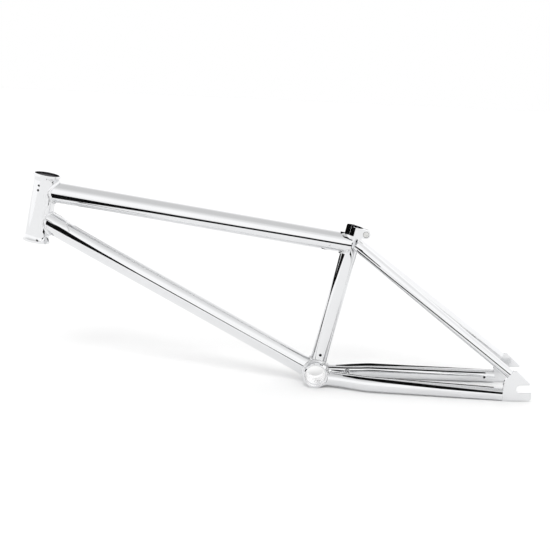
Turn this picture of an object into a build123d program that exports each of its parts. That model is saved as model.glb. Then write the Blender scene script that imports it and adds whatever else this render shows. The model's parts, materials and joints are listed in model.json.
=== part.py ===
"""BMX frame: welded steel tube set with an integrated seat clamp.

The origin is the centre of the bottom bracket shell. +X points to the rear wheel, -X to the
head tube, +Y to the rider's right (drive side) and +Z up, with the rear axle line level.
All sizes are in millimetres and all angles in degrees.
"""
from build123d import *
from math import atan2, cos, degrees, radians, sin, tan
import os

os.makedirs("parts", exist_ok=True)

# Frame geometry
head_angle = 75.0
seat_angle = 71.5
top_tube_slope = 13.5
top_tube_length = 529.0
top_tube_up_seat_tube = 233.0
head_above_top_tube = 27.6
head_below_top_tube = 89.2
down_tube_above_head_end = 41.5
axle_reach = 345.0
axle_drop = 35.3

# Head tube with seats for an integrated headset
head_body_od = 41.0
head_rim_od = 47.0
head_rim_height = 3.6
head_flare_height = 7.4
head_tunnel_id = 37.0
bearing_seat_id = 41.8
bearing_seat_depth = 4.0
tab_hole_diameter = 4.2
tab_hole_spacing = 8.0
tab_hole_below_top = 19.0
tab_hole_forward_angle = 23.0

# Main tubes
main_tube_od = 34.9
main_tube_wall = 0.9
seat_tube_od = 28.6
seat_tube_lower_bore = 24.6
seat_post_bore = 25.5
seat_post_bore_depth = 190.0
seat_tube_vent_diameter = 5.0
seat_tube_vent_height = 33.0

# Bottom bracket shell for press-in bearings
shell_width = 68.0
shell_od = 42.5
shell_bearing_id = 37.0
shell_bearing_depth = 13.0
shell_tunnel_id = 35.0
shell_edge_chamfer = 0.5

# Curved plate under the down tube at the head tube
gusset_thickness = 1.8
gusset_edge_below_axis = 6.0
gusset_reach = 56.0
gusset_notch = 17.0

# Seat clamp
clamp_od = 31.0
clamp_height = 20.5
clamp_above_top_tube = 10.0
clamp_slit = 3.0
clamp_ear_half_width = 11.5
clamp_ear_diameter = 15.4
clamp_bolt_behind = 19.5
clamp_bolt_below_top = 7.7

# M6 pinch bolt with a socket head
bolt_diameter = 6.0
bolt_head_diameter = 10.0
bolt_head_height = 5.6
bolt_hex_across_flats = 5.0
bolt_hex_depth = 3.2
bolt_running_clearance = 0.05
bolt_head_side_clearance = 0.3
bolt_seat_clearance = 0.05
bolt_tip_recess = 0.8

# Chainstays
chainstay_od = 25.4
chainstay_rear_od = 22.2
chainstay_wall = 1.2
chainstay_below_shell_centre = 5.2
chainstay_end_ahead_of_axle = 30.5
chainstay_end_below_axle = 8.0
chainstay_front_bend_reach = 34.0
chainstay_front_bend_outward = 2.7
chainstay_rear_bend_reach = 88.0
chainstay_rear_bend_inward = 11.0
chainstay_front_bend_radius = 60.0
chainstay_rear_bend_radius = 75.0
chainstay_vent_diameter = 4.5
chainstay_vent_from_end = 17.5

# Cross tube between the chainstays, ahead of the rear tyre
bridge_od = 10.0
bridge_wall = 1.2
bridge_reach = 55.0

# Seat stays
seatstay_top_od = 19.0
seatstay_rear_od = 16.0
seatstay_wall = 1.0
seatstay_top_above_top_tube = 3.0
seatstay_top_behind_seat_tube = 7.5
seatstay_top_beyond_seat_tube = 4.2
seatstay_end_ahead_of_axle = 16.0
seatstay_end_above_axle = 26.9

# Closing discs welded into the ends of the stays
cap_thickness = 2.0

# Rear dropout plates
hub_spacing = 110.0
dropout_thickness = 6.0
axle_slot_width = 14.0
axle_slot_slope = 3.2
slot_open_beyond_axle = 18.5
dropout_tip_radius = 1.5
dropout_prong_depth = 12.9
dropout_prong_radius = 4.0
dropout_shoulder_ahead_of_axle = 4.0
dropout_shoulder_above_axle = 31.5
dropout_notch_ahead_of_axle = 27.0
dropout_notch_above_axle = 13.8
dropout_edge_chamfer = 0.6
tongue_length = 10.0
tongue_thickness = 5.0
seatstay_tongue_height = 9.0
chainstay_tongue_height = 13.0


def tilted(angle, distance, across=0.0):
    """Point in the frame's middle plane, along a line at angle and across it."""
    run = distance * cos(radians(angle)) - across * sin(radians(angle))
    rise = distance * sin(radians(angle)) + across * cos(radians(angle))
    return Vector(run, 0, rise)


def round_plane(start, end):
    """Plane at start that faces end, for the section of a tube between them."""
    return Plane(origin=start, z_dir=(end - start).normalized())


def tube_between(start, end, outer, wall):
    """Straight tube of one size, inside the current part."""
    with BuildSketch(round_plane(start, end)) as section:
        Circle(outer / 2)
        Circle(outer / 2 - wall, mode=Mode.SUBTRACT)
    extrude(section.sketch, amount=(end - start).length)


def tapered_tube(start, end, start_outer, end_outer, wall):
    """Straight tube that narrows evenly, inside the current part."""
    first = round_plane(start, end)
    length = (end - start).length
    for shrink, mode in ((0.0, Mode.ADD), (wall, Mode.SUBTRACT)):
        with BuildSketch(first) as wide:
            Circle(start_outer / 2 - shrink)
        with BuildSketch(first.offset(length)) as narrow:
            Circle(end_outer / 2 - shrink)
        loft([wide.sketch, narrow.sketch], mode=mode)


def cut_rod(start, end, diameter):
    """Take a solid rod's shape out of the current part."""
    with BuildSketch(round_plane(start, end)) as section:
        Circle(diameter / 2)
    extrude(section.sketch, amount=(end - start).length, mode=Mode.SUBTRACT)


# Points in the middle plane
origin = Vector(0, 0, 0)
right = Vector(0, 1, 0)
seat_direction = tilted(seat_angle, 1)
seat_backward = tilted(seat_angle, 0, -1)
head_direction = tilted(head_angle, 1)
head_forward = tilted(head_angle, 0, 1)
top_tube_rear = seat_direction * top_tube_up_seat_tube
top_tube_front = top_tube_rear + tilted(180 - top_tube_slope, top_tube_length)
head_top = top_tube_front + head_direction * head_above_top_tube
head_bottom = top_tube_front - head_direction * head_below_top_tube
down_tube_front = head_bottom + head_direction * down_tube_above_head_end
down_tube_length = down_tube_front.length
down_tube_direction = down_tube_front.normalized()
head_length = (head_top - head_bottom).length
clamp_bottom = seat_direction * (top_tube_up_seat_tube + clamp_above_top_tube)
clamp_top = clamp_bottom + seat_direction * clamp_height
plate_middle_y = hub_spacing / 2 + dropout_thickness / 2
slot_end = Vector(axle_reach, 0, -axle_drop)

# Chainstay axis, from the shell's side to the dropout's inner face
chainstay_shell_y = shell_width / 2 - chainstay_od / 2
chainstay_front_bend_y = chainstay_shell_y + chainstay_front_bend_outward
chainstay_end_y = hub_spacing / 2
chainstay_rear_bend_y = chainstay_end_y - chainstay_rear_bend_inward
chainstay_end_reach = axle_reach - chainstay_end_ahead_of_axle
chainstay_fall = axle_drop + chainstay_end_below_axle - chainstay_below_shell_centre
chainstay_slope = degrees(atan2(chainstay_fall, chainstay_end_reach))

# Seat stay axis in the side view
seatstay_top_y = seat_tube_od / 2 + seatstay_top_beyond_seat_tube
seatstay_top_centre = (seat_direction * (top_tube_up_seat_tube + seatstay_top_above_top_tube)
                       + seat_backward * seatstay_top_behind_seat_tube)
seatstay_end_centre = slot_end + Vector(-seatstay_end_ahead_of_axle, 0, seatstay_end_above_axle)


def head_outline(mode):
    """Outer shape of the head tube, turned about its axis."""
    body = head_body_od / 2
    rim = head_rim_od / 2
    neck = head_rim_height + head_flare_height
    with BuildSketch(Plane(origin=head_bottom, x_dir=head_forward * -1, z_dir=right * -1)) as half:
        with BuildLine():
            TangentArc((body, neck), (rim, head_rim_height), tangent=(0, -1))
            TangentArc((body, head_length - neck), (rim, head_length - head_rim_height),
                       tangent=(0, 1))
            Line((body, neck), (body, head_length - neck))
            Polyline((rim, head_rim_height), (rim, 0), (0, 0), (0, head_length),
                     (rim, head_length), (rim, head_length - head_rim_height))
        make_face()
    revolve(half.sketch, axis=Axis(head_bottom, head_direction), mode=mode)


# Head tube: turned outside, with a bearing seat in each end
with BuildPart() as head_tube:
    head_outline(Mode.ADD)
    cut_rod(head_bottom, head_top, head_tunnel_id)
    for end, inward in ((head_bottom, head_direction), (head_top, head_direction * -1)):
        cut_rod(end, end + inward * bearing_seat_depth, bearing_seat_id)
        seat_plane = Plane(origin=end + inward * bearing_seat_depth, z_dir=inward)
        with BuildSketch(seat_plane):
            Circle(bearing_seat_id / 2)
        with BuildSketch(seat_plane.offset((bearing_seat_id - head_tunnel_id) / 2)):
            Circle(head_tunnel_id / 2)
        loft(mode=Mode.SUBTRACT)
    for side in (-1, 1):
        turn = radians(tab_hole_forward_angle)
        outward = head_forward * sin(turn) + right * (side * cos(turn))
        for row in (0, 1):
            below = tab_hole_below_top + row * tab_hole_spacing
            centre = head_top - head_direction * below
            cut_rod(centre, centre + outward * head_rim_od, tab_hole_diameter)
head_tube.part.label = "head_tube"
export_step(head_tube.part, "parts/head_tube.step")

# Bottom bracket shell
with BuildPart() as bottom_bracket_shell:
    with BuildSketch(Plane.XZ):
        Circle(shell_od / 2)
    extrude(amount=shell_width / 2, both=True)
    with BuildSketch(Plane.XZ):
        Circle(shell_tunnel_id / 2)
    extrude(amount=shell_width / 2, both=True, mode=Mode.SUBTRACT)
    for side in (-1, 1):
        face_centre = Vector(0, side * shell_width / 2, 0)
        seat_end = Vector(0, side * (shell_width / 2 - shell_bearing_depth), 0)
        cut_rod(face_centre, seat_end, shell_bearing_id)
    rims = bottom_bracket_shell.edges().filter_by(GeomType.CIRCLE)
    chamfer(rims.group_by(Axis.Y)[0] + rims.group_by(Axis.Y)[-1], shell_edge_chamfer)
bottom_bracket_shell.part.label = "bottom_bracket_shell"
export_step(bottom_bracket_shell.part, "parts/bottom_bracket_shell.step")


def cut_shell():
    """Cope the current part to the bottom bracket shell."""
    with BuildSketch(Plane.XZ) as shell_section:
        Circle(shell_od / 2)
    extrude(shell_section.sketch, amount=shell_width, both=True, mode=Mode.SUBTRACT)


# Seat tube: coped to the shell, and reamed for the seat post from its open top
with BuildPart() as seat_tube:
    tube_between(origin, clamp_bottom, seat_tube_od, (seat_tube_od - seat_tube_lower_bore) / 2)
    cut_rod(clamp_top - seat_direction * seat_post_bore_depth, clamp_bottom, seat_post_bore)
    cut_shell()
    vent_centre = seat_direction * seat_tube_vent_height
    cut_rod(vent_centre, vent_centre - right * seat_tube_od, seat_tube_vent_diameter)
seat_tube.part.label = "seat_tube"
export_step(seat_tube.part, "parts/seat_tube.step")

# Seat clamp: split ring with two ears behind the seat post
bolt_centre = clamp_top - seat_direction * clamp_bolt_below_top + seat_backward * clamp_bolt_behind
side_plane = Plane(origin=bolt_centre, x_dir=seat_backward, z_dir=right * -1)
bolt_seat_depth = bolt_head_height + bolt_seat_clearance
with BuildPart() as seat_clamp:
    with BuildSketch(round_plane(clamp_bottom, clamp_top)):
        Circle(clamp_od / 2)
    extrude(amount=clamp_height)
    with BuildSketch(side_plane):
        Circle(clamp_ear_diameter / 2)
        Rectangle(clamp_bolt_behind, clamp_ear_diameter, align=(Align.MAX, Align.CENTER))
    extrude(amount=clamp_ear_half_width, both=True)
    cut_rod(clamp_bottom - seat_direction, clamp_top + seat_direction, seat_post_bore)
    with BuildSketch(side_plane):
        slit_length = clamp_bolt_behind + clamp_ear_diameter
        with Locations((-clamp_bolt_behind, 0)):
            Rectangle(slit_length, 3 * clamp_height, align=(Align.MIN, Align.CENTER))
    extrude(amount=clamp_slit / 2, both=True, mode=Mode.SUBTRACT)
    shank_hole = bolt_diameter + 2 * bolt_running_clearance
    across_ears = right * (2 * clamp_ear_half_width)
    cut_rod(bolt_centre - across_ears, bolt_centre + across_ears, shank_hole)
    ear_face = bolt_centre - right * clamp_ear_half_width
    head_pocket = bolt_head_diameter + 2 * bolt_head_side_clearance
    cut_rod(ear_face, ear_face + right * bolt_seat_depth, head_pocket)
seat_clamp.part.label = "seat_clamp"
export_step(seat_clamp.part, "parts/seat_clamp.step")

# Pinch bolt: its head lies in the left ear, and its threads hold in the right ear
with BuildPart() as seat_clamp_bolt:
    with BuildSketch(Plane(origin=ear_face, x_dir=seat_backward, z_dir=right)):
        Circle(bolt_head_diameter / 2)
    extrude(amount=bolt_head_height)
    bolt_length = 2 * clamp_ear_half_width - bolt_tip_recess
    with BuildSketch(Plane(origin=ear_face, x_dir=seat_backward, z_dir=right)):
        Circle(bolt_diameter / 2)
    extrude(amount=bolt_length)
    bolt_rims = seat_clamp_bolt.edges().filter_by(GeomType.CIRCLE).group_by(Axis.Y)
    chamfer(bolt_rims[0] + bolt_rims[-1], bolt_diameter / 10)
    with BuildSketch(Plane(origin=ear_face, x_dir=seat_backward, z_dir=right)):
        RegularPolygon(bolt_hex_across_flats / 2, 6, major_radius=False)
    extrude(amount=bolt_hex_depth, mode=Mode.SUBTRACT)
seat_clamp_bolt.part.label = "seat_clamp_bolt"
export_step(seat_clamp_bolt.part, "parts/seat_clamp_bolt.step")

# Top tube: coped to the head tube, to the seat tube and to the clamp above it
with BuildPart() as top_tube:
    tube_between(top_tube_rear, top_tube_front, main_tube_od, main_tube_wall)
    head_outline(Mode.SUBTRACT)
    cut_rod(origin, clamp_bottom, seat_tube_od)
    cut_rod(clamp_bottom, clamp_top, clamp_od)
top_tube.part.label = "top_tube"
export_step(top_tube.part, "parts/top_tube.step")

# Down tube: coped to the head tube, to the shell and to the seat tube beside it
with BuildPart() as down_tube:
    tube_between(origin, down_tube_front, main_tube_od, main_tube_wall)
    head_outline(Mode.SUBTRACT)
    cut_shell()
    cut_rod(origin, clamp_bottom, seat_tube_od)
down_tube.part.label = "down_tube"
export_step(down_tube.part, "parts/down_tube.step")

# Gusset: half sleeve under the down tube, with two points at its rear edge
gusset_end = down_tube_length - gusset_reach
with BuildPart() as down_tube_gusset:
    gusset_outer = main_tube_od + 2 * gusset_thickness
    tube_between(down_tube_direction * gusset_end, down_tube_front, gusset_outer, gusset_thickness)
    head_outline(Mode.SUBTRACT)
    gusset_side = Plane(origin=down_tube_direction * gusset_end, x_dir=down_tube_direction,
                        z_dir=right * -1)
    with BuildSketch(gusset_side):
        with Locations((0, -gusset_edge_below_axis)):
            Rectangle(2 * gusset_reach, 2 * gusset_outer, align=(Align.CENTER, Align.MIN))
        with BuildLine():
            Polyline((0, -gusset_edge_below_axis), (gusset_notch, -gusset_outer / 2),
                     (-gusset_notch, -gusset_outer), close=True)
        make_face()
    extrude(amount=gusset_outer, both=True, mode=Mode.SUBTRACT)
down_tube_gusset.part.label = "down_tube_gusset"
export_step(down_tube_gusset.part, "parts/down_tube_gusset.step")


def chainstay_point(side, reach, sideways):
    """Point on a chainstay's axis, by its distance behind the shell's centre."""
    height = -chainstay_below_shell_centre - reach * tan(radians(chainstay_slope))
    return Vector(reach, side * sideways, height)


def chainstay_ends(side):
    """Axis points of one chainstay's straight rear stretch: its rear bend and its end."""
    bend = chainstay_point(side, chainstay_rear_bend_reach, chainstay_rear_bend_y)
    end = chainstay_point(side, chainstay_end_reach, chainstay_end_y)
    return bend, end


def chainstay_taper_start(side):
    """Point on a chainstay's axis where its rear bend ends and its taper starts."""
    bend, end = chainstay_ends(side)
    before = chainstay_point(side, chainstay_front_bend_reach, chainstay_front_bend_y)
    turn = radians((bend - before).get_angle(end - bend))
    set_back = chainstay_rear_bend_radius * tan(turn / 2)
    return bend + (end - bend).normalized() * set_back


def chainstay_bent_solid(side, shrink, mode):
    """Solid along the bent front stretch of a chainstay, inside the current part."""
    bend, end = chainstay_ends(side)
    front_bend = chainstay_point(side, chainstay_front_bend_reach, chainstay_front_bend_y)
    with BuildLine() as route:
        FilletPolyline(chainstay_point(side, 0, chainstay_shell_y), front_bend, bend,
                       chainstay_taper_start(side) + (end - bend).normalized(),
                       radius=[chainstay_front_bend_radius, chainstay_rear_bend_radius])
    with BuildSketch(Plane(origin=route.line @ 0, z_dir=route.line % 0)) as section:
        Circle(chainstay_od / 2 - shrink)
    sweep(section.sketch, path=route.line, mode=mode)


def seatstay_ends(side):
    """Axis points of one seat stay: its top and its rear end."""
    top = seatstay_top_centre + right * (side * seatstay_top_y)
    end = seatstay_end_centre + right * (side * plate_middle_y)
    return top, end


# Chainstays: bent out around the tyre, then straight and tapered to the dropouts
for side, name in ((-1, "chainstay_left"), (1, "chainstay_right")):
    bend, end = chainstay_ends(side)
    along = (end - bend).normalized()
    with BuildPart() as chainstay:
        chainstay_bent_solid(side, 0, Mode.ADD)
        chainstay_bent_solid(side, chainstay_wall, Mode.SUBTRACT)
        tapered_tube(chainstay_taper_start(side), end - along * cap_thickness,
                     chainstay_od, chainstay_rear_od, chainstay_wall)
        cut_shell()
        vent = end - along * chainstay_vent_from_end
        cut_rod(vent, vent - right * (side * chainstay_od), chainstay_vent_diameter)
    chainstay.part.label = name
    export_step(chainstay.part, f"parts/{name}.step")

# Cross tube: coped to both chainstays
with BuildPart() as chainstay_bridge:
    tube_between(chainstay_point(-1, bridge_reach, chainstay_front_bend_y),
                 chainstay_point(1, bridge_reach, chainstay_front_bend_y), bridge_od, bridge_wall)
    for side in (-1, 1):
        chainstay_bent_solid(side, 0, Mode.SUBTRACT)
chainstay_bridge.part.label = "chainstay_bridge"
export_step(chainstay_bridge.part, "parts/chainstay_bridge.step")

# Seat stays: from the seat tube's sides to the dropouts
for side, name in ((-1, "seatstay_left"), (1, "seatstay_right")):
    top, end = seatstay_ends(side)
    along = (end - top).normalized()
    with BuildPart() as seatstay:
        tapered_tube(top + along * cap_thickness, end - along * cap_thickness,
                     seatstay_top_od, seatstay_rear_od, seatstay_wall)
        cut_rod(origin, clamp_bottom, seat_tube_od)
        cut_rod(clamp_bottom, clamp_top, clamp_od)
    seatstay.part.label = name
    export_step(seatstay.part, f"parts/{name}.step")

# Discs that close the seat stays at the seat tube
for side, name in ((-1, "seatstay_top_cap_left"), (1, "seatstay_top_cap_right")):
    top, end = seatstay_ends(side)
    with BuildPart() as top_cap:
        with BuildSketch(round_plane(top, end)):
            Circle(seatstay_top_od / 2)
        extrude(amount=cap_thickness)
        cut_rod(origin, clamp_bottom, seat_tube_od)
        cut_rod(clamp_bottom, clamp_top, clamp_od)
    top_cap.part.label = name
    export_step(top_cap.part, f"parts/{name}.step")

# Dropout outline in the side view
seatstay_run = seatstay_end_centre - seatstay_top_centre
seatstay_side_slope = degrees(atan2(seatstay_run.Z, seatstay_run.X))
chainstay_end_centre = chainstay_point(1, chainstay_end_reach, 0)
seatstay_upper = seatstay_end_centre + tilted(seatstay_side_slope, 0, seatstay_rear_od / 2)
seatstay_lower = seatstay_end_centre - tilted(seatstay_side_slope, 0, seatstay_rear_od / 2)
chainstay_upper = chainstay_end_centre + tilted(-chainstay_slope, 0, chainstay_rear_od / 2)
chainstay_lower = chainstay_end_centre - tilted(-chainstay_slope, 0, chainstay_rear_od / 2)
slot_rear = slot_end + tilted(-axle_slot_slope, slot_open_beyond_axle)
tip = slot_rear + tilted(-axle_slot_slope, 0, axle_slot_width / 2)
prong = slot_rear - tilted(-axle_slot_slope, 0, axle_slot_width / 2 + dropout_prong_depth)
shoulder = slot_end + Vector(-dropout_shoulder_ahead_of_axle, 0, dropout_shoulder_above_axle)
front_notch = slot_end + Vector(-dropout_notch_ahead_of_axle, 0, dropout_notch_above_axle)


def flat(point):
    """Side-view coordinates of a point, for sketches on the dropout plane."""
    return (point.X, point.Z)


def add_tongue(centre, slope, height):
    """Tab of the plate that goes into a stay's end, in the current sketch."""
    with Locations(Location(flat(centre), slope)):
        Rectangle(2 * tongue_length, height)


def plate_plane(side):
    """Middle plane of one dropout plate, seen from the left."""
    return Plane(origin=(0, side * plate_middle_y, 0), x_dir=(1, 0, 0), z_dir=(0, -1, 0))


# Dropouts: flat plates with an axle slot that is open to the rear
plates = {}
for side, name in ((-1, "dropout_left"), (1, "dropout_right")):
    with BuildPart() as dropout:
        with BuildSketch(plate_plane(side)):
            with BuildLine():
                edge = Polyline(flat(seatstay_lower), flat(seatstay_upper), flat(shoulder),
                                flat(tip), flat(prong), flat(chainstay_lower),
                                flat(chainstay_upper))
                ThreePointArc(edge @ 1, flat(front_notch), edge @ 0)
            make_face()
        extrude(amount=dropout_thickness / 2, both=True)
        sharp = dropout.edges().filter_by(Axis.Y)
        fillet(sharp.sort_by_distance(prong + right * (side * plate_middle_y))[0],
               dropout_prong_radius)
        with BuildSketch(plate_plane(side)):
            with Locations(Location(flat(slot_end), -axle_slot_slope)):
                Circle(axle_slot_width / 2)
                Rectangle(2 * slot_open_beyond_axle, axle_slot_width,
                          align=(Align.MIN, Align.CENTER))
        extrude(amount=dropout_thickness, both=True, mode=Mode.SUBTRACT)
        sharp = dropout.edges().filter_by(Axis.Y)
        fillet(sharp.sort_by_distance(tip + right * (side * plate_middle_y))[0],
               dropout_tip_radius)
        chamfer(dropout.faces().filter_by(Axis.Y).edges(), dropout_edge_chamfer)
        with BuildSketch(plate_plane(side)):
            add_tongue(seatstay_end_centre, seatstay_side_slope, seatstay_tongue_height)
            add_tongue(chainstay_end_centre, -chainstay_slope, chainstay_tongue_height)
        extrude(amount=tongue_thickness / 2, both=True)
    dropout.part.label = name
    export_step(dropout.part, f"parts/{name}.step")
    plates[side] = dropout.part

# Discs that close the rear ends of the stays around the dropouts' tongues
for side, hand in ((-1, "left"), (1, "right")):
    stay_ends = (("seatstay_end_cap", seatstay_ends(side), seatstay_rear_od),
                 ("chainstay_end_cap", chainstay_ends(side), chainstay_rear_od))
    for name, (start, end), outer in stay_ends:
        with BuildPart() as end_cap:
            with BuildSketch(round_plane(end, start)):
                Circle(outer / 2)
            extrude(amount=cap_thickness)
            add(plates[side], mode=Mode.SUBTRACT)
        end_cap.part.label = f"{name}_{hand}"
        export_step(end_cap.part, f"parts/{name}_{hand}.step")
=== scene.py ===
"""Looks of the chrome BMX frame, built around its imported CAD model. Lengths are in metres."""
import json
import math

import bmesh
import bpy
from mathutils import Matrix, Vector, noise
from mathutils.bvhtree import BVHTree


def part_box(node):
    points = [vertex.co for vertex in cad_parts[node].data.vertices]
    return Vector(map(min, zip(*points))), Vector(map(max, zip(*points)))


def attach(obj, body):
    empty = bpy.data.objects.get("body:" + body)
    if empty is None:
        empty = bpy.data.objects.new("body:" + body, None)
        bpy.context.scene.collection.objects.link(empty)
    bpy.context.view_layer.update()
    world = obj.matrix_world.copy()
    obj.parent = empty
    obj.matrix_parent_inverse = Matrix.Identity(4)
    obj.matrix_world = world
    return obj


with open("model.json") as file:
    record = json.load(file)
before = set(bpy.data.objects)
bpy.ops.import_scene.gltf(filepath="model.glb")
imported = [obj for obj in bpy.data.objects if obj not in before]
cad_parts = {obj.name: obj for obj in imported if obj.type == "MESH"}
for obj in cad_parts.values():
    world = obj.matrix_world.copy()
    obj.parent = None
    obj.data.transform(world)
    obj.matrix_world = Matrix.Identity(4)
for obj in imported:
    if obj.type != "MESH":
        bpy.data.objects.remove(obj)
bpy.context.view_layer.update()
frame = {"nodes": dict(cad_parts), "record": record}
nodes = frame["nodes"]
mounts = {mount["name"]: mount for mount in frame["record"]["mounts"]}


# Main tubes: thin-walled round steel tubes, polished along their length and then chrome plated.
# The plating is a mirror, with faint waves from the tube drawing and hairlines from the polishing.
def add_node(material, kind, **sockets):
    """New shader node with its input sockets set by name, or linked where a socket is given."""
    node = material.node_tree.nodes.new(kind)
    for name, value in sockets.items():
        target = node.inputs[name.replace("_", " ")]
        if isinstance(value, bpy.types.NodeSocket):
            material.node_tree.links.new(value, target)
        else:
            target.default_value = value
    return node


def plated_metal(name, color, dull, mirror):
    """Bright metal whose roughness drifts between mirror and dull. Returns it with its parts."""
    material = bpy.data.materials.new(name)
    material.use_nodes = True
    shader = material.node_tree.nodes["Principled BSDF"]
    shader.inputs["Metallic"].default_value = 1.0
    place = add_node(material, "ShaderNodeTexCoord").outputs["Object"]
    drift = add_node(material, "ShaderNodeTexNoise", Vector=place, Scale=22.0, Detail=4.0)
    haze = add_node(material, "ShaderNodeMapRange", Value=drift.outputs["Fac"])
    haze.inputs["From Min"].default_value = 0.35
    haze.inputs["From Max"].default_value = 0.75
    haze.inputs["To Min"].default_value = mirror
    haze.inputs["To Max"].default_value = dull
    material.node_tree.links.new(haze.outputs["Result"], shader.inputs["Roughness"])
    tint = add_node(material, "ShaderNodeMix")
    tint.data_type = "RGBA"
    tint.inputs["A"].default_value = (*color, 1.0)
    tint.inputs["B"].default_value = (*(0.94 * part for part in color), 1.0)
    material.node_tree.links.new(drift.outputs["Fac"], tint.inputs["Factor"])
    material.node_tree.links.new(tint.outputs["Result"], shader.inputs["Base Color"])
    return material, shader, place


def wave_bump(material, shader, place, wave_scale, wave_height, hair_height):
    """Faint waves and crossing polishing hairlines in the surface of a bright metal."""
    waves = add_node(material, "ShaderNodeTexNoise", Vector=place, Scale=wave_scale, Detail=1.0)
    soft = add_node(material, "ShaderNodeBump", Height=waves.outputs["Fac"])
    soft.inputs["Distance"].default_value = wave_height
    stretched = add_node(material, "ShaderNodeMapping", Vector=place)
    stretched.inputs["Scale"].default_value = (60.0, 2400.0, 2400.0)
    hairs = add_node(material, "ShaderNodeTexNoise", Vector=stretched.outputs["Vector"])
    fine = add_node(material, "ShaderNodeBump", Height=hairs.outputs["Fac"],
                    Normal=soft.outputs["Normal"])
    fine.inputs["Distance"].default_value = hair_height
    material.node_tree.links.new(fine.outputs["Normal"], shader.inputs["Normal"])
    return fine


chrome_color = (0.80, 0.805, 0.815)
chrome, chrome_shader, chrome_place = plated_metal("tube_chrome", chrome_color, 0.075, 0.03)
wave_bump(chrome, chrome_shader, chrome_place, 16.0, 0.0004, 0.0000004)


def finish_node(name, material):
    """Gives a CAD node its visible finish."""
    nodes[name].data.materials.clear()
    nodes[name].data.materials.append(material)


for tube in ("top_tube", "down_tube", "seat_tube"):
    finish_node(tube, chrome)

# Head tube and bottom bracket shell: turned from thick tube, with flared or chamfered ends. Their
#  outsides are plated to a mirror, and their bores keep the fine rings of the boring tool. The head
#  tube's bore is coloured near black: painted shade for the dark inside of the tube.
def math_node(material, kind, operation, *values):
    """Vector or number maths node. Each value is a socket to link or a constant to set."""
    node = add_node(material, kind)
    node.operation = operation
    for place, value in enumerate(values):
        if isinstance(value, bpy.types.NodeSocket):
            material.node_tree.links.new(value, node.inputs[place])
        else:
            node.inputs[place].default_value = value
    return node.outputs["Value" if operation == "DOT_PRODUCT" or kind == "ShaderNodeMath" else 0]


ring_pitch = 0.0004
ring_depth = 0.000008
inward_share = 0.3
bore_extra_roughness = 0.2


def bored_chrome(name, bore_mount, bore_tint_and_painted_shade):
    """Chrome outside, and satin turned metal in the bore that the mount describes, coloured as
    given; the head tube's near-black bore colour is painted shade.
    """
    material, shader, place = plated_metal(name, chrome_color, 0.07, 0.03)
    outside = wave_bump(material, shader, place, 18.0, 0.0001, 0.0000004)
    axis = Vector(mounts[bore_mount]["axis"])
    centre = Vector(mounts[bore_mount]["pos_m"])
    narrowest = mounts[bore_mount]["dims"]["r_mm"] / 1000
    vectors, numbers = "ShaderNodeVectorMath", "ShaderNodeMath"
    offset = math_node(material, vectors, "SUBTRACT", place, centre)
    along = math_node(material, vectors, "DOT_PRODUCT", offset, axis)
    sideways = math_node(material, vectors, "CROSS_PRODUCT", offset, axis)
    outward = math_node(material, vectors, "CROSS_PRODUCT", axis, sideways)
    normal = add_node(material, "ShaderNodeTexCoord").outputs["Normal"]
    facing = math_node(material, vectors, "DOT_PRODUCT", outward, normal)
    inside = math_node(material, numbers, "LESS_THAN", facing, -inward_share * narrowest)
    turns = math_node(material, numbers, "MULTIPLY", along, 2 * math.pi / ring_pitch)
    rings = math_node(material, numbers, "SINE", turns)
    masked = math_node(material, numbers, "MULTIPLY", rings, inside)
    turned = add_node(material, "ShaderNodeBump", Height=masked, Normal=outside.outputs["Normal"])
    turned.inputs["Distance"].default_value = ring_depth
    material.node_tree.links.new(turned.outputs["Normal"], shader.inputs["Normal"])
    roughness = shader.inputs["Roughness"].links[0].from_socket
    satin = math_node(material, numbers, "MULTIPLY_ADD", inside, bore_extra_roughness, roughness)
    material.node_tree.links.new(satin, shader.inputs["Roughness"])
    # Bore colour mix: for the head tube this paints shade into the bore.
    bore_tint_and_shade_mix = add_node(material, "ShaderNodeMix")
    bore_tint_and_shade_mix.data_type = "RGBA"
    outer_color = shader.inputs["Base Color"].links[0].from_socket
    material.node_tree.links.new(inside, bore_tint_and_shade_mix.inputs["Factor"])
    material.node_tree.links.new(outer_color, bore_tint_and_shade_mix.inputs["A"])
    bore_tint_and_shade_mix.inputs["B"].default_value = (*bore_tint_and_painted_shade, 1.0)
    material.node_tree.links.new(bore_tint_and_shade_mix.outputs["Result"], shader.inputs["Base Color"])
    return material


# Head tube bore: near-black colour, painted shade for the dark inside of the tube. Shell bore: a
# bright turned-metal colour.
head_bore_painted_shade = (0.14, 0.14, 0.145)
shell_bore_color = (0.84, 0.84, 0.845)
finish_node("head_tube", bored_chrome("head_tube_chrome_painted_bore_shade", "steerer_tunnel", head_bore_painted_shade))
finish_node("bottom_bracket_shell",
            bored_chrome("shell_chrome", "bottom_bracket_tunnel", shell_bore_color))

# Rear triangle and gusset: tapered steel stays with discs closing their ends, a short bridge and
# a half sleeve. They are welded on and plated with the rest of the frame.
stay_chrome, stay_shader, stay_place = plated_metal("stay_chrome", chrome_color, 0.08, 0.03)
wave_bump(stay_chrome, stay_shader, stay_place, 24.0, 0.0003, 0.0000004)
stay_nodes = ["chainstay_bridge", "down_tube_gusset"]
for hand in ("left", "right"):
    stay_nodes += [f"chainstay_{hand}", f"seatstay_{hand}", f"seatstay_top_cap_{hand}",
                   f"seatstay_end_cap_{hand}", f"chainstay_end_cap_{hand}"]
for stay in stay_nodes:
    finish_node(stay, stay_chrome)

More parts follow.
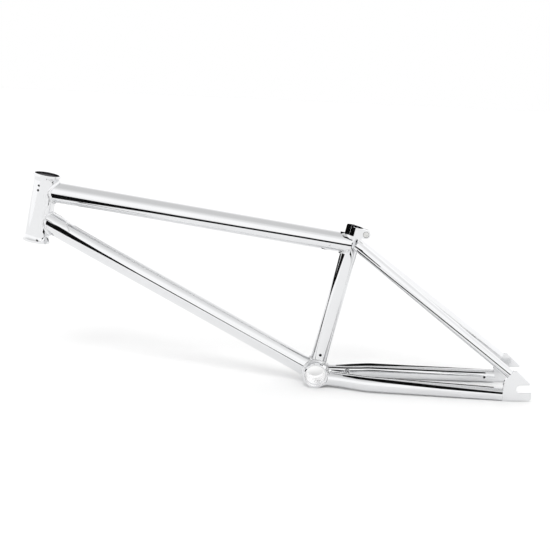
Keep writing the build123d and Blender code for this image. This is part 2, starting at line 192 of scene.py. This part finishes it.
# Dropouts and seat clamp: cut from flat plate and solid bar, ground flat, then plated. Grinding
# leaves them a little less mirror-like than the drawn tubes.
plate_chrome, plate_shader, plate_place = plated_metal("plate_chrome", chrome_color, 0.16, 0.08)
wave_bump(plate_chrome, plate_shader, plate_place, 40.0, 0.0002, 0.0000008)
for plate in ("dropout_left", "dropout_right"):
    finish_node(plate, plate_chrome)
clamp_chrome, clamp_shader, clamp_place = plated_metal("clamp_chrome", chrome_color, 0.08, 0.03)
wave_bump(clamp_chrome, clamp_shader, clamp_place, 30.0, 0.0002, 0.0000005)
finish_node("seat_clamp", clamp_chrome)

# Pinch bolt: a forged and zinc plated socket screw, with a grainier, slightly warm surface. It
# passes through the clamp's two ears and is the one piece that comes off.
bolt_steel, bolt_shader, bolt_place = plated_metal("bolt_steel", (0.70, 0.70, 0.69), 0.28, 0.16)
wave_bump(bolt_steel, bolt_shader, bolt_place, 900.0, 0.00002, 0.000001)
finish_node("seat_clamp_bolt", bolt_steel)


# Weld beads: each tube end is joined by a hand-laid bead in the corner, with the overlapping
# ripples of the filler rod. The plating covers the beads as it covers the tubes.
touch = 0.00012
sharp = math.radians(15)
ripple_pitch = 0.0021
ripple_height = 0.0005
ripple_lag = 0.45
samples_per_ripple = 6
sink = 0.00012
hand_wobble = 0.10
crown_height = 0.3
root_depth = 0.25


def clean_copy(node):
    """Copy of a node's mesh with its split corners joined again."""
    mesh = bmesh.new()
    mesh.from_mesh(nodes[node].data)
    bmesh.ops.remove_doubles(mesh, verts=mesh.verts, dist=1e-6)
    mesh.normal_update()
    return mesh


def surface_of(names):
    """Search tree over the surfaces of several nodes."""
    points, faces = [], []
    for name in names:
        start = len(points)
        points += [vertex.co.copy() for vertex in nodes[name].data.vertices]
        faces += [[start + i for i in face.vertices] for face in nodes[name].data.polygons]
    return BVHTree.FromPolygons(points, faces)


def seam_edges(branch, base):
    """Sharp edges of the branch that lie on the base, each with the wall's normal beside it."""
    mesh = clean_copy(branch)
    on_base = {vertex: base.find_nearest(vertex.co)[3] < touch for vertex in mesh.verts}
    edges = []
    for edge in mesh.edges:
        ends_touch = all(on_base[vertex] for vertex in edge.verts)
        if not ends_touch or len(edge.link_faces) != 2 or edge.calc_face_angle() < sharp:
            continue
        wall = max(edge.link_faces, key=lambda face: sum(not on_base[v] for v in face.verts))
        edges.append((edge.verts[0].co.copy(), edge.verts[1].co.copy(), wall.normal.copy()))
    mesh.free()
    return edges


def key_of(point):
    """Rounded place, so that edges which meet can find each other."""
    return tuple(round(value / 0.00002) for value in point)


def chains_of(edges):
    """Joins seam edges end to end. Returns lists of (point, wall normal), and if each closes."""
    at = {}
    for number, (first, second, _) in enumerate(edges):
        at.setdefault(key_of(first), []).append(number)
        at.setdefault(key_of(second), []).append(number)
    unused = set(range(len(edges)))
    starts = [numbers[0] for numbers in at.values() if len(numbers) == 1]
    chains = []
    while unused:
        number = next((n for n in starts if n in unused), None)
        if number is None:
            number = min(unused)
        first, second, normal = edges[number]
        unused.discard(number)
        if len(at[key_of(first)]) > 1 and len(at[key_of(second)]) == 1:
            first, second = second, first
        chain = [(first, normal), (second, normal)]
        while True:
            here = chain[-1][0]
            following = [n for n in at[key_of(here)] if n in unused]
            if not following:
                break
            unused.discard(following[0])
            one, other, normal = edges[following[0]]
            onward = other if key_of(one) == key_of(here) else one
            chain.append((onward, normal))
        closed = key_of(chain[0][0]) == key_of(chain[-1][0])
        chains.append((chain[:-1] if closed else chain, closed))
    return chains


def chain_length(chain):
    return sum((b[0] - a[0]).length for a, b in zip(chain, chain[1:]))


def even_steps(chain, closed, step):
    """Points and wall normals at even steps along a chain."""
    stations = chain + chain[:1] if closed else chain
    total = chain_length(stations)
    count = max(8, round(total / step))
    points, normals = [], []
    walked, index = 0.0, 0
    for number in range(count if closed else count + 1):
        target = total * number / count
        while index < len(stations) - 2:
            span = (stations[index + 1][0] - stations[index][0]).length
            if walked + span >= target:
                break
            walked += span
            index += 1
        start, end = stations[index], stations[index + 1]
        span = max((end[0] - start[0]).length, 1e-9)
        share = min(1.0, (target - walked) / span)
        points.append(start[0].lerp(end[0], share))
        normals.append(start[1].lerp(end[1], share))
    return points, normals, total


def smoothed(vectors, closed, reach):
    """Moving average along a seam."""
    count = len(vectors)
    result = []
    for number in range(count):
        total = Vector((0, 0, 0))
        used = 0
        for shift in range(-reach, reach + 1):
            other = number + shift
            if closed or 0 <= other < count:
                total += vectors[other % count]
                used += 1
        result.append(total / used)
    return result


def weld_bead(name, branch, bases, leg):
    """Rippled bead in the corner where a branch node meets one or more base nodes."""
    base = surface_of(bases)
    own = surface_of([branch])
    chain, closed = max(chains_of(seam_edges(branch, base)),
                        key=lambda found: chain_length(found[0]))
    step = ripple_pitch / samples_per_ripple
    points, walls, total = even_steps(chain, closed, step)
    points = smoothed(points, closed, 4)
    walls = smoothed(walls, closed, 6)
    grounds = smoothed([base.find_nearest(point)[1] for point in points], closed, 6)
    across = 8
    mesh = bmesh.new()
    rows = []
    ripples = round(total / ripple_pitch)
    for number, point in enumerate(points):
        wall = walls[number].normalized()
        ground = grounds[number].normalized()
        outward = (wall + ground).normalized()
        size = leg * (1 + hand_wobble * noise.noise(point * 90.0))
        travel = total * number / len(points)
        if not closed:
            size *= math.sqrt(max(0.05, min(1.0, travel / leg, (total - travel) / leg)))
        on_ground = point + (wall - ground * wall.dot(ground)).normalized() * size
        on_wall = point + (ground - wall * wall.dot(ground)).normalized() * size
        on_ground = base.find_nearest(on_ground)[0] - ground * sink
        on_wall = own.find_nearest(on_wall)[0] - wall * sink
        crown = (on_ground + on_wall) / 2 + outward * (size * crown_height)
        row = []
        for place in range(across + 1):
            share = place / across
            middle = 4 * share * (1 - share)
            phase = ripples * number / len(points) + ripple_lag * middle
            ripple = (abs(math.sin(math.pi * phase)) - 0.6) * ripple_height * middle
            spot = (on_ground * (1 - share) ** 2 + crown * (2 * share * (1 - share))
                    + on_wall * share ** 2 + outward * ripple)
            row.append(mesh.verts.new(spot))
        row.append(mesh.verts.new(point - outward * size * root_depth))
        rows.append(row)
    width = across + 2
    last = len(rows) if closed else len(rows) - 1
    for number in range(last):
        here, there = rows[number], rows[(number + 1) % len(rows)]
        for place in range(width):
            beside = (place + 1) % width
            mesh.faces.new((here[place], here[beside], there[beside], there[place]))
    if not closed:
        mesh.faces.new(rows[0])
        mesh.faces.new(rows[-1][::-1])
    bmesh.ops.recalc_face_normals(mesh, faces=mesh.faces)
    for face in mesh.faces:
        face.smooth = True
    data = bpy.data.meshes.new(name)
    mesh.to_mesh(data)
    mesh.free()
    bead = bpy.data.objects.new(name, data)
    bpy.context.scene.collection.objects.link(bead)
    data.materials.append(weld_chrome)
    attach(bead, "frame")


weld_chrome, weld_shader, weld_place = plated_metal("weld_chrome", chrome_color, 0.16, 0.07)
wave_bump(weld_chrome, weld_shader, weld_place, 700.0, 0.00003, 0.0000005)

weld_bead("weld_top_tube_head", "top_tube", ["head_tube"], 0.0034)
weld_bead("weld_down_tube_head", "down_tube", ["head_tube"], 0.0034)
weld_bead("weld_top_tube_seat", "top_tube", ["seat_tube", "seat_clamp"], 0.0032)
weld_bead("weld_seat_tube_shell", "seat_tube", ["bottom_bracket_shell"], 0.0032)
weld_bead("weld_down_tube_shell", "down_tube", ["bottom_bracket_shell", "seat_tube"], 0.0034)
weld_bead("weld_gusset_head", "down_tube_gusset", ["head_tube"], 0.0026)
weld_bead("weld_gusset_down_tube", "down_tube_gusset", ["down_tube"], 0.0016)
for hand in ("left", "right"):
    weld_bead(f"weld_chainstay_shell_{hand}", f"chainstay_{hand}", ["bottom_bracket_shell"], 0.003)
    weld_bead(f"weld_seatstay_seat_tube_{hand}", f"seatstay_{hand}", ["seat_tube"], 0.0026)
    weld_bead(f"weld_bridge_{hand}", "chainstay_bridge", [f"chainstay_{hand}"], 0.002)
    weld_bead(f"weld_dropout_chainstay_{hand}", f"dropout_{hand}",
              [f"chainstay_end_cap_{hand}"], 0.0022)
    weld_bead(f"weld_dropout_seatstay_{hand}", f"dropout_{hand}",
              [f"seatstay_end_cap_{hand}"], 0.0022)

# Floor: a plain white table top of coated paper. The frame stands on it, on its shell and its
# dropouts.
def lowest(names, up):
    """Lowest reach of some nodes along an upward direction."""
    return min(up.dot(vertex.co) for name in names for vertex in nodes[name].data.vertices)


def table_up(slope):
    """Upward direction of a table that slopes down to the rear."""
    return Vector((math.sin(slope), 0, math.cos(slope)))


flat, steep = 0.0, math.radians(15)
for _ in range(30):
    slope = (flat + steep) / 2
    up = table_up(slope)
    if lowest(["dropout_left"], up) > lowest(["bottom_bracket_shell"], up):
        steep = slope
    else:
        flat = slope
floor_up = table_up(slope)
floor_height = lowest(["bottom_bracket_shell"], floor_up)
to_floor = Matrix.Translation(floor_up * floor_height) @ Matrix.Rotation(slope, 4, "Y")

floor_material = bpy.data.materials.new("table_white")
floor_material.use_nodes = True
floor_shader = floor_material.node_tree.nodes["Principled BSDF"]
floor_shader.inputs["Roughness"].default_value = 0.9
floor_shader.inputs["Specular IOR Level"].default_value = 0.1
floor_place = add_node(floor_material, "ShaderNodeTexCoord").outputs["Object"]
grain = add_node(floor_material, "ShaderNodeTexNoise", Vector=floor_place, Scale=3.0)
paper = add_node(floor_material, "ShaderNodeMix")
paper.data_type = "RGBA"
paper.inputs["A"].default_value = (0.90, 0.90, 0.90, 1.0)
paper.inputs["B"].default_value = (0.88, 0.88, 0.88, 1.0)
floor_material.node_tree.links.new(grain.outputs["Fac"], paper.inputs["Factor"])
floor_material.node_tree.links.new(paper.outputs["Result"], floor_shader.inputs["Base Color"])

table_half = 6.0
table_mesh = bpy.data.meshes.new("table")
table_mesh.from_pydata([(-table_half, -table_half, 0), (table_half, -table_half, 0),
                        (table_half, table_half, 0), (-table_half, table_half, 0)],
                       [], [(0, 1, 2, 3)])
table_mesh.materials.append(floor_material)
table = bpy.data.objects.new("table", table_mesh)
table.matrix_world = to_floor
bpy.context.scene.collection.objects.link(table)

# Black flags: strips of black card close beside the tubes, whose reflections are the dark lines
# in the chrome. They are no part of the frame. Unlike real card they show only in reflections and
# are clear from behind, and their angles were chosen for the camera below.
flag_black = bpy.data.materials.new("flag_black")
flag_black.use_nodes = True
flag_shader = flag_black.node_tree.nodes["Principled BSDF"]
flag_shader.inputs["Roughness"].default_value = 1.0
flag_shader.inputs["Specular IOR Level"].default_value = 0.0
flag_place = add_node(flag_black, "ShaderNodeTexCoord").outputs["Object"]
felt = add_node(flag_black, "ShaderNodeTexNoise", Vector=flag_place, Scale=40.0)
nap = add_node(flag_black, "ShaderNodeMix")
nap.data_type = "RGBA"
nap.inputs["A"].default_value = (0.002, 0.002, 0.002, 1.0)
nap.inputs["B"].default_value = (0.012, 0.012, 0.012, 1.0)
flag_black.node_tree.links.new(felt.outputs["Fac"], nap.inputs["Factor"])
flag_black.node_tree.links.new(nap.outputs["Result"], flag_shader.inputs["Base Color"])
behind = add_node(flag_black, "ShaderNodeNewGeometry").outputs["Backfacing"]
clear = add_node(flag_black, "ShaderNodeBsdfTransparent")
one_sided = add_node(flag_black, "ShaderNodeMixShader", Fac=behind)
flag_black.node_tree.links.new(flag_shader.outputs["BSDF"], one_sided.inputs[1])
flag_black.node_tree.links.new(clear.outputs["BSDF"], one_sided.inputs[2])
flag_sheet = flag_black.node_tree.nodes["Material Output"]
flag_black.node_tree.links.new(one_sided.outputs["Shader"], flag_sheet.inputs["Surface"])


def tube_ends(name):
    """Middle of a tube's two ends, the forward end first."""
    points = [vertex.co for vertex in nodes[name].data.vertices]
    centre = sum(points, Vector()) / len(points)
    way = (max(points, key=lambda point: (point - centre).length) - centre).normalized()
    reach = [(point - centre).dot(way) for point in points]
    tips = []
    for limit, sign in ((max(reach), 1), (min(reach), -1)):
        near = [point for point, far in zip(points, reach) if far * sign > 0.85 * limit * sign]
        tips.append(sum(near, Vector()) / len(near))
    return sorted(tips, key=lambda tip: tip.x)


def black_card(name, corners, faces):
    """Card that is black on its front and clear behind, and shows only in reflections."""
    data = bpy.data.meshes.new(name)
    data.from_pydata(corners, [], faces)
    card = bpy.data.objects.new(name, data)
    bpy.context.scene.collection.objects.link(card)
    data.materials.append(flag_black)
    card.visible_camera = False
    card.visible_diffuse = False
    card.visible_shadow = False


def across_tube(tube, hand, side):
    """A tube's two ends, with the directions outwards and up square to its length."""
    front, rear = tube_ends(tube.replace("left", hand))
    axis = (rear - front).normalized()
    out = Vector((0, side, 0))
    out = (out - axis * out.dot(axis)).normalized()
    lift = axis.cross(out)
    if lift.z < 0:
        lift.negate()
    return front, rear, out, lift


def flag(name, tube, distance, stations):
    """Strip of black card along a tube, on each side of the frame. A station gives a share of
    the tube's length, then the height angle and half the spread of the card as the tube sees it."""
    for hand, side in (("left", -1), ("right", 1)):
        front, rear, out, lift = across_tube(tube, hand, side)
        corners = []
        for share, height, half in stations:
            middle = front + (rear - front) * share
            for turn in (math.radians(height - half), math.radians(height + half)):
                corners.append(middle + (out * math.cos(turn) + lift * math.sin(turn)) * distance)
        faces = [(n, n + 1, n + 3, n + 2)[::-side] for n in range(0, len(corners) - 2, 2)]
        black_card(f"{name}_{hand}", corners, faces)


slat_depth = 0.0118
slat_lean = 0.0021


def slatted_flag(name, tube, distance, first, last, count):
    """Short flag cut into slats that face back along the tube, so that the head tube looks
    through it. The first and last station are given as for a flag."""
    for hand, side in (("left", -1), ("right", 1)):
        front, rear, out, lift = across_tube(tube, hand, side)
        axis = (rear - front).normalized()
        corners, faces = [], []
        for slat in range(count):
            share, height, half = [low + (high - low) * slat / (count - 1)
                                   for low, high in zip(first, last)]
            middle = front + (rear - front) * share
            start = len(corners)
            for gap, lean in ((distance - slat_depth / 2, -slat_lean),
                              (distance + slat_depth / 2, 0)):
                for turn in (math.radians(height - half), math.radians(height + half)):
                    spoke = out * math.cos(turn) + lift * math.sin(turn)
                    corners.append(middle + axis * lean + spoke * gap)
            ring = (start, start + 1, start + 3, start + 2)
            a, b, c = (corners[index] for index in ring[:3])
            if (b - a).cross(c - a).dot(axis) < 0:
                ring = ring[::-1]
            faces.append(ring)
        black_card(f"{name}_{hand}", corners, faces)


slatted_flag("flag_top_tube_head", "top_tube", 0.045, (-0.018, -33, 20), (0.1, -30, 16), 26)
flag("flag_top_tube", "top_tube", 0.045, [(0.1, -30, 16), (0.17, -28, 13), (0.33, -22, 10),
                                          (0.6, -17, 8), (0.85, -11, 8), (1.05, -9, 7)])
slatted_flag("flag_down_tube_head", "down_tube", 0.045, (-0.012, 3, 22), (0.08, 0, 18), 22)
flag("flag_down_tube", "down_tube", 0.045, [(0.08, 0, 18), (0.2, -2, 10), (0.35, -2, 5),
                                            (0.85, -2, 2), (1.04, -4, 4)])
flag("flag_seat_tube", "seat_tube", 0.045, [(0.0, 100, 3), (0.5, 88, 5), (0.65, 76, 14),
                                            (0.85, 64, 22)])
for place, height, half in (("front", 22, 20), ("middle", 63, 20), ("side", 106, 22)):
    flag(f"flag_clamp_{place}", "seat_tube", 0.023, [(1.02, height, half), (1.12, height, half)])
flag("flag_seatstay", "seatstay_left", 0.022, [(0.0, -58, 12), (0.2, -50, 11), (0.36, -38, 10),
                                              (0.55, -27, 10), (0.75, -14, 9), (1.05, 0, 9)])
flag("flag_seatstay_top", "seatstay_left", 0.022, [(0.0, -14, 12), (0.15, -14, 5)])
flag("flag_chainstay", "chainstay_left", 0.035, [(0.06, 72, 10), (0.15, 66, 22), (0.33, 53, 24),
                                                 (0.5, 43, 20), (0.7, 33, 17), (1.07, 22, 13)])
flag("flag_chainstay_top", "chainstay_left", 0.03, [(0.0, 118, 8), (0.3, 116, 14), (1.0, 116, 12)])
# Two black cards on the table just beside the shell's faces: painted shade, dark sheets standing in
# for the contact shadow under the shell, which the shell's lower faces reflect.
shell_low, shell_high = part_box("bottom_bracket_shell")
shade_card_height = shell_low[2] + 0.0006
near_gap, far_gap = 0.001, 0.02
near_half, far_half = 0.013, 0.011
for side in (-1, 1):
    near = shell_high[1] * side + near_gap * side
    far = shell_high[1] * side + far_gap * side
    corners = [(x, y, shade_card_height) for x, y in ((-near_half, near), (near_half, near),
                                                (far_half, far), (-far_half, far))]
    black_card(f"shell_painted_contact_shade_{side:+d}", corners, [(0, 1, 2, 3)[::-side]])

# Studio light: a white tent with a grey ceiling, plain white where the camera looks past the
# frame, and a broad soft key light high above the camera that shows in no reflection.
world = bpy.data.worlds.new("studio")
world.use_nodes = True
bpy.context.scene.world = world
tree = world.node_tree
sky = tree.nodes["Background"]
direction = tree.nodes.new("ShaderNodeTexCoord").outputs["Generated"]
parts = tree.nodes.new("ShaderNodeSeparateXYZ")
tree.links.new(direction, parts.inputs[0])
height = tree.nodes.new("ShaderNodeValToRGB")
wall_white, ceiling_grey = 1.22, 0.76
wall_top, ceiling_edge = 0.50, 0.92
height.color_ramp.elements[0].position = wall_top
height.color_ramp.elements[0].color = (wall_white, wall_white, wall_white, 1.0)
height.color_ramp.elements[1].position = ceiling_edge
height.color_ramp.elements[1].color = (ceiling_grey, ceiling_grey, ceiling_grey, 1.0)
tree.links.new(parts.outputs["Z"], height.inputs["Fac"])
seen = tree.nodes.new("ShaderNodeLightPath").outputs["Is Camera Ray"]
backdrop = tree.nodes.new("ShaderNodeMix")
backdrop.data_type = "RGBA"
backdrop.inputs["B"].default_value = (1.0, 1.0, 1.0, 1.0)
tree.links.new(seen, backdrop.inputs["Factor"])
tree.links.new(height.outputs["Color"], backdrop.inputs["A"])
tree.links.new(backdrop.outputs["Result"], sky.inputs["Color"])

key = bpy.data.lights.new("key", "SUN")
key.energy = 0.95
key.angle = math.radians(22)
key_light = bpy.data.objects.new("key", key)
aim = Vector((0.0, 1.0, -1.05))
key_light.rotation_euler = aim.to_track_quat("-Z", "Y").to_euler()
key_light.visible_glossy = False
bpy.context.scene.collection.objects.link(key_light)
bpy.context.scene.view_settings.view_transform = "Standard"

# Camera: a long lens a little above the frame's left side, turned so that the frame leans
# nose-down by a few degrees.
camera_distance = 2.35
camera_azimuth = math.radians(-2.0)
camera_elevation = math.radians(11.7)
camera_roll = math.radians(-3.73)
camera_target = Vector((-0.0591, 0.0, 0.174))
forward = Vector((math.sin(camera_azimuth) * math.cos(camera_elevation),
                  math.cos(camera_azimuth) * math.cos(camera_elevation),
                  -math.sin(camera_elevation)))
level = Vector((math.cos(camera_azimuth), -math.sin(camera_azimuth), 0))
upright = level.cross(forward)
across = level * math.cos(camera_roll) + upright * math.sin(camera_roll)
above = upright * math.cos(camera_roll) - level * math.sin(camera_roll)
lens = bpy.data.cameras.new("camera")
lens.lens = 89.7
lens.sensor_width = 36.0
camera = bpy.data.objects.new("camera", lens)
camera.matrix_world = Matrix.Translation(camera_target - forward * camera_distance) @ Matrix(
    (across, above, -forward)).transposed().to_4x4()
bpy.context.scene.collection.objects.link(camera)
bpy.context.scene.camera = camera

bpy.context.view_layer.update()
